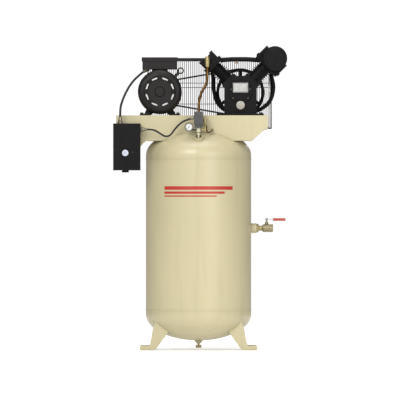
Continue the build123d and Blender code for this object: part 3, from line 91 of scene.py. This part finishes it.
class Paint:
    """A procedural material: a principled shader with colour, roughness and bump worked out by nodes."""

    def __init__(self, name, metallic=0.0, **sockets):
        self.material = bpy.data.materials.new(name)
        self.material.use_nodes = True
        self.tree = self.material.node_tree
        self.shader = self.tree.nodes["Principled BSDF"]
        self.shader.inputs["Metallic"].default_value = metallic
        for socket, value in sockets.items():
            self.shader.inputs[socket.replace("_", " ")].default_value = value
        self.place = self.node("ShaderNodeTexCoord").outputs["Object"]
        self.height = None

    def node(self, kind, **settings):
        """A new node; its settings are attributes, or inputs by name."""
        made = self.tree.nodes.new(kind)
        for key, value in settings.items():
            name = key.replace("_", " ")
            if name in made.inputs:
                made.inputs[name].default_value = value
            elif key in made.inputs:
                made.inputs[key].default_value = value
            else:
                setattr(made, key, value)
        return made

    def link(self, source, target):
        """Join an output to an input."""
        self.tree.links.new(source, target)

    def stretched(self, scale):
        """Object coordinates, scaled along each axis."""
        mapping = self.node("ShaderNodeMapping")
        mapping.inputs["Scale"].default_value = scale
        self.link(self.place, mapping.inputs["Vector"])
        return mapping.outputs["Vector"]

    def noise(self, scale, detail=4.0, stretch=None, distortion=0.0):
        """A noise value from 0 to 1; scale is in features per metre."""
        made = self.node("ShaderNodeTexNoise", Scale=scale, Detail=detail, Distortion=distortion)
        made.inputs["Roughness"].default_value = NOISE_ROUGHNESS
        self.link(self.stretched(stretch) if stretch else self.place, made.inputs["Vector"])
        return made.outputs["Fac"]

    def ramp(self, value, *stops):
        """Remap a value by (position, level) stops."""
        made = self.node("ShaderNodeValToRGB")
        elements = made.color_ramp.elements
        while len(elements) < len(stops):
            elements.new(0.5)
        for element, (position, level) in zip(elements, stops):
            element.position = position
            element.color = level if isinstance(level, list) else [level, level, level, 1.0]
        self.link(value, made.inputs["Fac"])
        return made.outputs["Color"]

    def blend(self, factor, low, high):
        """Mix two colours, each a list or another node's output."""
        made = self.node("ShaderNodeMix", data_type="RGBA", blend_type="MIX")
        for socket, value in (("Factor", factor), ("A", low), ("B", high)):
            target = [i for i in made.inputs if i.name == socket and i.enabled][0]
            if isinstance(value, (list, float)):
                target.default_value = value
            else:
                self.link(value, target)
        return [o for o in made.outputs if o.enabled][0]

    def maths(self, operation, first, second):
        """Combine two values, each a number or another node's output."""
        made = self.node("ShaderNodeMath", operation=operation)
        for target, value in zip(made.inputs, (first, second)):
            if isinstance(value, float):
                target.default_value = value
            else:
                self.link(value, target)
        return made.outputs["Value"]

    def colour(self, value):
        """The surface colour."""
        self.link(value, self.shader.inputs["Base Color"])

    def roughness(self, value, low, high):
        """Roughness between two levels, following a value."""
        self.link(self.ramp(value, (0.25, low), (0.75, high)), self.shader.inputs["Roughness"])

    def bump(self, value, distance, strength=1.0):
        """Raise the surface by a value; several add up."""
        made = self.node("ShaderNodeBump", Distance=distance, Strength=strength)
        self.link(value, made.inputs["Height"])
        if self.height:
            self.link(self.height, made.inputs["Normal"])
        self.height = made.outputs["Normal"]
        return self

    def rounded(self, radius):
        """Soften the light on edges by a small radius."""
        made = self.node("ShaderNodeBevel", Radius=radius)
        made.samples = 4
        self.height = made.outputs["Normal"]

    def occlusion(self, distance, samples=6):
        """How open the surface is, from 0 in corners to 1."""
        made = self.node("ShaderNodeAmbientOcclusion", Distance=distance)
        made.samples = samples
        return made.outputs["AO"]

    def done(self):
        """Connect the bumps and return the material."""
        if self.height:
            self.link(self.height, self.shader.inputs["Normal"])
        return self.material


def painted(name, colour, worn, corner_shade_colour, low=0.32, high=0.5, edge=0.0012, peel=0.00006, coat=0.0, scale=1.0,
            gloss=0.5):
    """Sprayed paint over metal: orange peel, a dusty film, patchy painted shade in the corners and scuffed
    patches.
    """
    paint = Paint(name, Coat_Weight=coat, Coat_Roughness=0.25, Specular_IOR_Level=gloss)
    paint.rounded(edge)
    tone = paint.noise(2.2 * scale, 3.0, stretch=(1, 1, 0.35))
    shade = linear(*[c * 0.93 for c in colour])
    base = paint.blend(paint.ramp(tone, (0.3, 0.0), (0.7, 1.0)), shade, linear(*colour))
    streaks = paint.ramp(paint.noise(22 * scale, 6.0, stretch=(1, 1, 0.06)), (0.55, 0.0), (0.8, 0.35))
    base = paint.blend(streaks, base, linear(*[c * 0.82 for c in colour]))
    specks = paint.ramp(paint.noise(420.0, 2.0), (0.7, 0.0), (0.76, 0.6))
    patches = paint.ramp(paint.noise(9 * scale, 5.0), (0.58, 0.0), (0.68, 1.0))
    base = paint.blend(paint.maths("MULTIPLY", specks, patches), base, linear(*worn))
    # Painted shade: ambient occlusion darkens the corners towards the corner shade colour, in patches set by
    # noise.
    corner = paint.ramp(paint.occlusion(0.03), (0.35, 0.75), (0.85, 0.0))
    corner_shade_patches = paint.maths("MULTIPLY", corner, paint.ramp(paint.noise(60.0, 5.0), (0.3, 0.3), (0.7, 1.0)))
    paint.colour(paint.blend(corner_shade_patches, base, linear(*corner_shade_colour)))
    paint.roughness(paint.noise(35.0, 5.0), low, high)
    paint.bump(paint.noise(900.0, 2.0), peel)
    paint.bump(paint.noise(14.0, 2.0), peel * 6)
    return paint.done()


def cast(name, colour, corner_shade_colour, low=0.35, high=0.55, grain=0.00025):
    """Painted sand casting: a pebbled skin, fine patches of dust and painted shade in the corners."""
    paint = Paint(name, Specular_IOR_Level=0.13)
    paint.rounded(0.0016)
    tone = paint.noise(14.0, 5.0)
    shade = linear(*[c * 0.8 for c in colour])
    base = paint.blend(paint.ramp(tone, (0.3, 0.0), (0.7, 1.0)), shade, linear(*colour))
    dust = paint.ramp(paint.noise(160.0, 6.0), (0.52, 0.0), (0.8, 0.35))
    base = paint.blend(dust, base, linear(*[c + 18 for c in colour]))
    # Painted shade: ambient occlusion darkens the corners towards the corner shade colour.
    corner = paint.ramp(paint.occlusion(0.02), (0.3, 0.8), (0.8, 0.0))
    paint.colour(paint.blend(corner, base, linear(*corner_shade_colour)))
    paint.roughness(paint.noise(60.0, 6.0), low, high)
    paint.bump(paint.noise(420.0, 3.0), grain)
    paint.bump(paint.noise(1500.0, 2.0), grain * 0.3)
    return paint.done()


def metal(name, colour, stain_and_shade_colour, low=0.22, high=0.42, grain=(1, 1, 1), edge=0.0005, spread=0.5):
    """Bare metal: fine machining lines, finger marks, stains and painted shade in the corners."""
    paint = Paint(name, metallic=1.0)
    paint.rounded(edge)
    stains = paint.ramp(paint.noise(45.0, 6.0, distortion=0.6), (0.45, 0.0), (0.75, spread))
    base = paint.blend(stains, linear(*colour), linear(*stain_and_shade_colour))
    # Painted shade: ambient occlusion darkens the corners towards half the stain colour.
    corner = paint.ramp(paint.occlusion(0.008), (0.3, 0.7), (0.85, 0.0))
    paint.colour(paint.blend(corner, base, linear(*[c * 0.5 for c in stain_and_shade_colour])))
    paint.roughness(paint.noise(120.0, 5.0), low, high)
    paint.bump(paint.noise(700.0, 3.0, stretch=grain), 0.00004)
    return paint.done()


def rubber(name, colour, low=0.5, high=0.75):
    """Rubber or vinyl: matt, with dust and scuffs."""
    paint = Paint(name, Specular_IOR_Level=0.35)
    dust = paint.ramp(paint.noise(90.0, 7.0), (0.5, 0.0), (0.85, 0.45))
    base = paint.blend(dust, linear(*colour), linear(*[c + 34 for c in colour]))
    paint.colour(base)
    paint.roughness(paint.noise(140.0, 4.0), low, high)
    paint.bump(paint.noise(1100.0, 3.0), 0.00006)
    return paint.done()


def plastic(name, colour, shade, low=0.35, high=0.5):
    """Moulded plastic: a fine spark texture, hand marks and painted shade in the corners."""
    paint = Paint(name, Specular_IOR_Level=0.45)
    paint.rounded(0.0008)
    marks = paint.ramp(paint.noise(55.0, 5.0), (0.45, 0.0), (0.8, 0.5))
    base = paint.blend(marks, linear(*colour), linear(*shade))
    # Painted shade: ambient occlusion darkens the corners towards a darker copy of the marks colour.
    corner = paint.ramp(paint.occlusion(0.01), (0.4, 0.6), (0.9, 0.0))
    paint.colour(paint.blend(corner, base, linear(*[c * 0.6 for c in shade])))
    paint.roughness(paint.noise(80.0, 4.0), low, high)
    paint.bump(paint.noise(1800.0, 2.0), 0.00005)
    return paint.done()


def laminated(name):
    """A stack of varnished steel sheets along the motor's axis."""
    paint = Paint(name, metallic=0.7)
    wave = paint.node("ShaderNodeTexWave", Scale=180.0, Distortion=0.2)
    wave.bands_direction = "Y"
    paint.link(paint.place, wave.inputs["Vector"])
    paint.colour(paint.blend(wave.outputs["Fac"], linear(74, 70, 66), linear(112, 108, 100)))
    paint.roughness(paint.noise(80.0, 4.0), 0.35, 0.6)
    paint.bump(wave.outputs["Fac"], 0.0002)
    return paint.done()


def lens(name):
    """The crankcase's sight glass: clear and pale, darker below a line just under its middle, lighter above
    it.
    """
    paint = Paint(name, Transmission_Weight=0.25, IOR=1.48, Coat_Weight=1.0, Coat_Roughness=0.05)
    height = paint.node("ShaderNodeSeparateXYZ")
    paint.link(paint.place, height.inputs["Vector"])
    centre = (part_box("sight_glass")[0].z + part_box("sight_glass")[1].z) / 2
    # Darker below a line just under the middle, lighter above it.
    level = paint.maths("ADD", height.outputs["Z"], 0.004 - centre)
    height_ramp_position = paint.maths("MULTIPLY", level, 60.0)
    tone_by_height = paint.ramp(height_ramp_position, (0.0, linear(188, 182, 172)), (0.3, linear(224, 222, 218)))
    paint.colour(paint.blend(paint.noise(160.0, 3.0), tone_by_height, linear(186, 180, 170)))
    paint.roughness(paint.noise(60.0, 3.0), 0.08, 0.2)
    return paint.done()


TANK = (190, 180, 144)
# For painted() the third colour, and for cast() the second, is the painted shade in the corners. The second
# colour of metal() is both its stains and, halved, its painted shade in the corners. The second colour of
# plastic() is both its marks and, darkened, its painted shade in the corners.
MATERIALS = {
    "tank_paint": painted("tank_paint", TANK, (168, 158, 126), (126, 116, 86), 0.30, 0.44, coat=0.10),
    "motor_paint": painted(
        "motor_paint", (26, 23, 22), (92, 88, 82), (18, 16, 15), 0.38, 0.54, scale=3.0, gloss=0.2
    ),
    "pump_paint": cast("pump_paint", (15, 13, 13), (5, 5, 5), 0.42, 0.62),
    "guard_paint": painted(
        "guard_paint", (26, 25, 25), (96, 94, 90), (18, 17, 16), 0.35, 0.5, scale=4.0, gloss=0.22
    ),
    "guard_zinc": metal("guard_zinc", (206, 205, 202), (164, 162, 158), 0.35, 0.55),
    "electrical_steel": laminated("electrical_steel"),
    "machined_steel": metal("machined_steel", (186, 184, 180), (120, 112, 100), 0.18, 0.36),
    "bolt_steel": metal("bolt_steel", (74, 70, 66), (44, 40, 36), 0.34, 0.54),
    "cast_aluminium": metal("cast_aluminium", (188, 188, 188), (140, 138, 134), 0.35, 0.55),
    "plate_aluminium": metal(
        "plate_aluminium", (172, 171, 169), (128, 126, 122), 0.42, 0.6, grain=(0.05, 1, 1)
    ),
    "copper_tube": metal("copper_tube", (108, 80, 42), (62, 44, 22), 0.32, 0.52, edge=0.0003, spread=0.8),
    "brass_fitting": metal("brass_fitting", (172, 158, 116), (116, 100, 64), 0.32, 0.52),
    "manifold_steel": metal("manifold_steel", (188, 182, 160), (142, 134, 110), 0.35, 0.55),
    "graphic_red": painted("graphic_red", (176, 44, 34), (150, 70, 58), (96, 30, 24), 0.32, 0.46, scale=2.0),
    "valve_brass": metal("valve_brass", (152, 142, 112), (104, 94, 66), 0.3, 0.5),
    "belt_rubber": rubber("belt_rubber", (26, 25, 25)),
    "cable_rubber": rubber("cable_rubber", (24, 22, 20), 0.38, 0.6),
    "switch_shell": plastic("switch_shell", (62, 62, 61), (48, 47, 45)),
    "starter_paint": painted(
        "starter_paint", (17, 15, 15), (62, 60, 58), (8, 7, 7), 0.34, 0.5, scale=4.0, gloss=0.12
    ),
    "button_plastic": plastic("button_plastic", (186, 190, 202), (150, 156, 172)),
    "gauge_paint": painted("gauge_paint", (52, 50, 50), (120, 116, 108), (20, 20, 20), 0.2, 0.32, scale=5.0),
    "dial_face": plastic("dial_face", (214, 214, 210), (194, 190, 180), 0.5, 0.65),
    "pointer_paint": plastic("pointer_paint", (30, 30, 30), (50, 46, 44)),
    "sight_lens": lens("sight_lens"),
    "chromed_brass": metal("chromed_brass", (214, 214, 214), (180, 178, 174), 0.05, 0.16, spread=0.2),
    "grip_vinyl": rubber("grip_vinyl", (168, 68, 56), 0.4, 0.6),
    "gland_metal": metal("gland_metal", (132, 128, 112), (84, 78, 62), 0.34, 0.52),
}
SLOT_OF = {entry["node"]: entry["material_slot"] for entry in frame["record"]["subparts"]}


def dress(obj, name):
    """Give an object one material."""
    obj.data.materials.clear()
    obj.data.materials.append(MATERIALS[name])


SHARP = math.radians(32)
for node_name, node in NODES.items():
    for index in range(max(1, len(node.data.materials))):
        if index < len(node.data.materials):
            node.data.materials[index] = MATERIALS[SLOT_OF[node_name]]
        else:
            node.data.materials.append(MATERIALS[SLOT_OF[node_name]])
    node.data.shade_smooth()
    node.data.set_sharp_from_angle(angle=SHARP)

# ---------------------------------------------------------------- cables

MOTOR_CABLE_D = 0.013
SWITCH_CABLE_D = 0.011
MOTOR_CABLE_ROUTE = [
    (-0.320, -0.062, 1.611),
    (-0.355, -0.066, 1.583),
    (-0.392, -0.108, 1.541),
    (-0.422, -0.165, 1.487),
    (-0.443, -0.208, 1.434),
    (-0.452, -0.228, 1.394),
    (-0.452, -0.228, 1.348),
]
SWITCH_CABLE_ROUTE = [
    (-0.298, -0.235, 1.276),
    (-0.262, -0.235, 1.276),
    (-0.231, -0.235, 1.259),
    (-0.200, -0.236, 1.238),
    (-0.180, -0.237, 1.235),
    (-0.161, -0.238, 1.243),
    (-0.137, -0.239, 1.277),
    (-0.111, -0.240, 1.306),
    (-0.080, -0.240, 1.328),
    (-0.044, -0.240, 1.338),
]


def spline_curve(name, points, radius):
    """An open NURBS tube with the points as its control points."""
    data = bpy.data.curves.new(name, "CURVE")
    data.dimensions = "3D"
    spline = data.splines.new("NURBS")
    spline.points.add(len(points) - 1)
    for target, point in zip(spline.points, points):
        target.co = (*point, 1.0)
    spline.order_u = 3
    spline.use_endpoint_u = True
    spline.resolution_u = 16
    data.bevel_depth = radius
    data.bevel_resolution = 8
    data.use_fill_caps = True
    curve = bpy.data.objects.new(name, data)
    bpy.context.scene.collection.objects.link(curve)
    return curve


for cable_name, route, diameter, length in (
    ("motor_cable", MOTOR_CABLE_ROUTE, MOTOR_CABLE_D, 0.360),
    ("switch_cable", SWITCH_CABLE_ROUTE, SWITCH_CABLE_D, 0.303),
):
    cable = spline_curve(cable_name + "_run", route, diameter / 2)
    dress(cable, "cable_rubber")
    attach(cable, "base")
    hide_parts(cable_name)

# ---------------------------------------------------------------- details

WIRE_R = 0.0018
WIRE_PITCH = 0.011
CROSS_WIRES = (1.292, 1.429, 1.525, 1.551, 1.692)
TANK_R = 0.305
GRAPHIC = (
    (-0.196, 0.196, 0.928, 0.948),
    (-0.196, 0.150, 0.905, 0.918),
    (-0.196, 0.104, 0.888, 0.895),
)
GRAPHIC_PROUD = 0.0006
DIAL_R = 0.0215
DIAL_TICKS = 31
DIAL_SWEEP = math.radians(270)
VENT_COUNT = 8
VENT_R = 0.079
VENT_HIGHLIGHT_BAR = (0.034, 0.0016, 0.0086)
VENT_DEPTH = 0.0105
MAJOR_TICK = (0.70, 0.0006)
MINOR_TICK = (0.80, 0.00035)
TICKS_PER_MAJOR = 5
TICK_OUTER = 0.9
GUARD_FLANGE = ((0.406, 0.168, 1.2904), (0.4196, 0.170, 1.6776))
FLANGE_BEVEL = 0.0006
WIRE_END_GAP = 0.004
SCREW_AT = (-0.380, 1.144)
SCREW_R = 0.0036
SCREW_PROUD = 0.0018
SCREW_BEVEL = 0.0008
BORDER_INSET = 0.003
BORDER_WIDTH = 0.0012
BORDER_LIFT = 0.0005


def add_rod(shape, start, end, radius, sides=10):
    """A round rod between two points."""
    start, end = Vector(start), Vector(end)
    turn = Z.rotation_difference(end - start).to_matrix().to_4x4()
    bmesh.ops.create_cone(
        shape, cap_ends=True, segments=sides, radius1=radius, radius2=radius,
        depth=(end - start).length, matrix=Matrix.Translation((start + end) / 2) @ turn,
    )


def add_block(shape, low, high, bevel=0.0):
    """A box between two corners, its edges rounded by bevel."""
    low, high = Vector(low), Vector(high)
    size = Matrix.Diagonal((*(high - low), 1))
    made = bmesh.ops.create_cube(shape, matrix=Matrix.Translation((low + high) / 2) @ size)
    if bevel:
        edges = {edge for vertex in made["verts"] for edge in vertex.link_edges}
        bmesh.ops.bevel(shape, geom=list(edges), offset=bevel, segments=2, profile=0.5, affect="EDGES")


def piece(name, shape, material, body, *hidden):
    """A finished mesh as a named piece that rides on a body and stands for the hidden nodes."""
    mesh = bpy.data.meshes.new(name)
    shape.to_mesh(mesh)
    shape.free()
    obj = bpy.data.objects.new(name, mesh)
    bpy.context.scene.collection.objects.link(obj)
    dress(obj, material)
    mesh.shade_smooth()
    mesh.set_sharp_from_angle(angle=SHARP)
    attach(obj, body)
    if hidden:
        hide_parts(*hidden)
    return obj


def make_guard_wires():
    """Round wires welded into panels, with the pale flange at the right."""
    low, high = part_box("guard_mesh")
    rear, wires = high.y - WIRE_R, bmesh.new()
    left, right = low.x + WIRE_R, high.x - WIRE_R
    count = int((right - left) / WIRE_PITCH)
    for index in range(count + 1):
        x = left + index * (right - left) / count
        add_rod(wires, (x, rear, low.z), (x, rear, high.z), WIRE_R)
    depth = int((rear - low.y) / WIRE_PITCH)
    for x in (left, right):
        for index in range(1, depth):
            y = rear - index * WIRE_PITCH
            add_rod(wires, (x, y, low.z), (x, y, high.z), WIRE_R)
    for z in CROSS_WIRES:
        z = min(max(z, low.z + WIRE_R), high.z - WIRE_R)
        add_rod(wires, (left, rear - 2 * WIRE_R, z), (right, rear - 2 * WIRE_R, z), WIRE_R)
        for x in (left, right):
            add_rod(wires, (x, low.y + WIRE_END_GAP, z), (x, rear, z), WIRE_R)
    piece("guard_wires", wires, "guard_paint", "base", "guard_mesh")
    flange = bmesh.new()
    add_block(flange, *GUARD_FLANGE, FLANGE_BEVEL)
    piece("guard_flange", flange, "guard_zinc", "base")


def make_graphic():
    """Plain stripes painted on the tank."""
    steps = 48
    shape = bmesh.new()
    for x_low, x_high, z_low, z_high in GRAPHIC:
        rings = []
        for index in range(steps + 1):
            angle = math.asin((x_low + (x_high - x_low) * index / steps) / TANK_R)
            out = Vector((math.sin(angle), -math.cos(angle), 0))
            rings.append([
                shape.verts.new(out * (TANK_R + proud) + Z * z)
                for proud, z in (
                    (-GRAPHIC_PROUD, z_low),
                    (GRAPHIC_PROUD, z_low),
                    (GRAPHIC_PROUD, z_high),
                    (-GRAPHIC_PROUD, z_high),
                )
            ])
        for first, second in zip(rings, rings[1:]):
            for corner in range(4):
                following = (corner + 1) % 4
                shape.faces.new((first[corner], first[following], second[following], second[corner]))
        shape.faces.new(rings[0])
        shape.faces.new(rings[-1][::-1])
    bmesh.ops.recalc_face_normals(shape, faces=shape.faces)
    piece("tank_graphic", shape, "graphic_red", "base")


def make_dial_ticks():
    """Graduations round the gauge's dial."""
    low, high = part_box("gauge_dial")
    centre = (low + high) / 2
    shape = bmesh.new()
    for index in range(DIAL_TICKS):
        angle = DIAL_SWEEP * (index / (DIAL_TICKS - 1) - 0.5)
        out = Vector((math.sin(angle), 0, math.cos(angle)))
        inner, width = MINOR_TICK if index % TICKS_PER_MAJOR else MAJOR_TICK
        start = Vector((centre.x, low.y - 0.00005, centre.z))
        add_rod(shape, start + out * DIAL_R * inner, start + out * DIAL_R * TICK_OUTER, width, 6)
    piece("gauge_ticks", shape, "pointer_paint", "base")


def make_plate_frame():
    """A raised border on the blank nameplate."""
    low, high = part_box("nameplate")
    shape = bmesh.new()
    back, front = low.y + BORDER_LIFT, low.y - BORDER_LIFT
    left, right = low.x + BORDER_INSET, high.x - BORDER_INSET
    bottom, top = low.z + BORDER_INSET, high.z - BORDER_INSET
    for z in (bottom, top - BORDER_WIDTH):
        add_block(shape, (left, front, z), (right, back, z + BORDER_WIDTH))
    for x in (left, right - BORDER_WIDTH):
        add_block(shape, (x, front, bottom + BORDER_WIDTH), (x + BORDER_WIDTH, back, top - BORDER_WIDTH))
    piece("nameplate_border", shape, "pump_paint", "base")


def make_cover_screw():
    """The round-headed screw beside the reset button."""
    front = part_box("starter_cover")[0].y
    shape = bmesh.new()
    x, z = SCREW_AT
    add_rod(shape, (x, front + 0.001, z), (x, front - SCREW_PROUD, z), SCREW_R, 24)
    edges = [edge for edge in shape.edges if all(v.co.y < front - 0.001 for v in edge.verts)]
    bmesh.ops.bevel(shape, geom=edges, offset=SCREW_BEVEL, segments=3, profile=0.5, affect="EDGES")
    piece("cover_screw", shape, "bolt_steel", "base")


def make_vent_highlights():
    """Pale bars just inside the slots of the motor's front bell, painted highlights on the slot rims."""
    low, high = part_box("motor_front_bell")
    centre = (low + high) / 2
    shape = bmesh.new()
    for index in range(VENT_COUNT):
        angle = 2 * math.pi * (index + 0.5) / VENT_COUNT
        made = bmesh.ops.create_cube(shape, matrix=Matrix.Diagonal((*VENT_HIGHLIGHT_BAR, 1)))
        bmesh.ops.translate(shape, verts=made["verts"], vec=(0, 0, VENT_R))
        turn = Matrix.Rotation(angle, 3, "Y")
        bmesh.ops.rotate(shape, verts=made["verts"], cent=(0, 0, 0), matrix=turn)
        bmesh.ops.translate(shape, verts=made["verts"], vec=(centre.x, low.y + VENT_DEPTH, centre.z))
    # Painted highlight: pale bars stand in for the light caught on the rims of the bell's vent slots.
    piece("bell_vent_highlights", shape, "cast_aluminium", "base")


make_guard_wires()
make_graphic()
make_dial_ticks()
make_plate_frame()
make_cover_screw()
make_vent_highlights()

# ---------------------------------------------------------------- floor and light

FLOOR_RADIUS = 5.0
FLOOR_GLOW = 0.3
SURROUND_STRENGTH = 1.02
AMBIENT_STRENGTH = 0.30
LAMP_AIM = (0, 0, 0.95)
LAMPS = (
    ("key", (-1.6, -5.0, 3.4), (2.6, 2.6), 200),
    ("fill", (2.6, -5.0, 2.2), (2.6, 2.6), 95),
    ("top", (0.0, -0.6, 5.2), (3.0, 3.0), 110),
    ("rear", (0.5, 5.0, 3.2), (3.0, 2.4), 100),
)


def make_floor():
    """A plain pale floor."""
    mesh = bpy.data.meshes.new("floor")
    shape = bmesh.new()
    bmesh.ops.create_circle(shape, cap_ends=True, segments=96, radius=FLOOR_RADIUS)
    shape.to_mesh(mesh)
    shape.free()
    floor = bpy.data.objects.new("floor", mesh)
    bpy.context.scene.collection.objects.link(floor)
    paint = Paint("floor", Emission_Color=(1, 1, 1, 1), Emission_Strength=FLOOR_GLOW)
    paint.colour(paint.blend(paint.noise(3.0, 3.0), [0.86, 0.86, 0.86, 1], [0.90, 0.90, 0.90, 1]))
    paint.roughness(paint.noise(8.0, 3.0), 0.85, 0.95)
    mesh.materials.append(paint.done())


def lamp(name, location, size, power):
    """A soft square light that shines at the middle of the machine."""
    data = bpy.data.lights.new(name, "AREA")
    data.shape = "RECTANGLE"
    data.size, data.size_y = size
    data.energy = power
    light = bpy.data.objects.new(name, data)
    light.location = location
    aim = Vector(LAMP_AIM) - Vector(location)
    light.rotation_euler = aim.to_track_quat("-Z", "Y").to_euler()
    light.visible_camera = False
    bpy.context.scene.collection.objects.link(light)


def make_world():
    """A white surround for the camera, dimmer as a light."""
    world = bpy.data.worlds.new("studio")
    world.use_nodes = True
    tree = world.node_tree
    surround = tree.nodes["Background"]
    surround.inputs["Color"].default_value = (1, 1, 1, 1)
    surround.inputs["Strength"].default_value = SURROUND_STRENGTH
    ambient = tree.nodes.new("ShaderNodeBackground")
    ambient.inputs["Color"].default_value = (1, 1, 1, 1)
    ambient.inputs["Strength"].default_value = AMBIENT_STRENGTH
    rays = tree.nodes.new("ShaderNodeLightPath")
    mixed = tree.nodes.new("ShaderNodeMixShader")
    tree.links.new(rays.outputs["Is Camera Ray"], mixed.inputs["Fac"])
    tree.links.new(ambient.outputs["Background"], mixed.inputs[1])
    tree.links.new(surround.outputs["Background"], mixed.inputs[2])
    tree.links.new(mixed.outputs["Shader"], tree.nodes["World Output"].inputs["Surface"])
    bpy.context.scene.world = world


make_floor()
make_world()
for settings in LAMPS:
    lamp(*settings)
bpy.context.scene.view_settings.view_transform = "Standard"
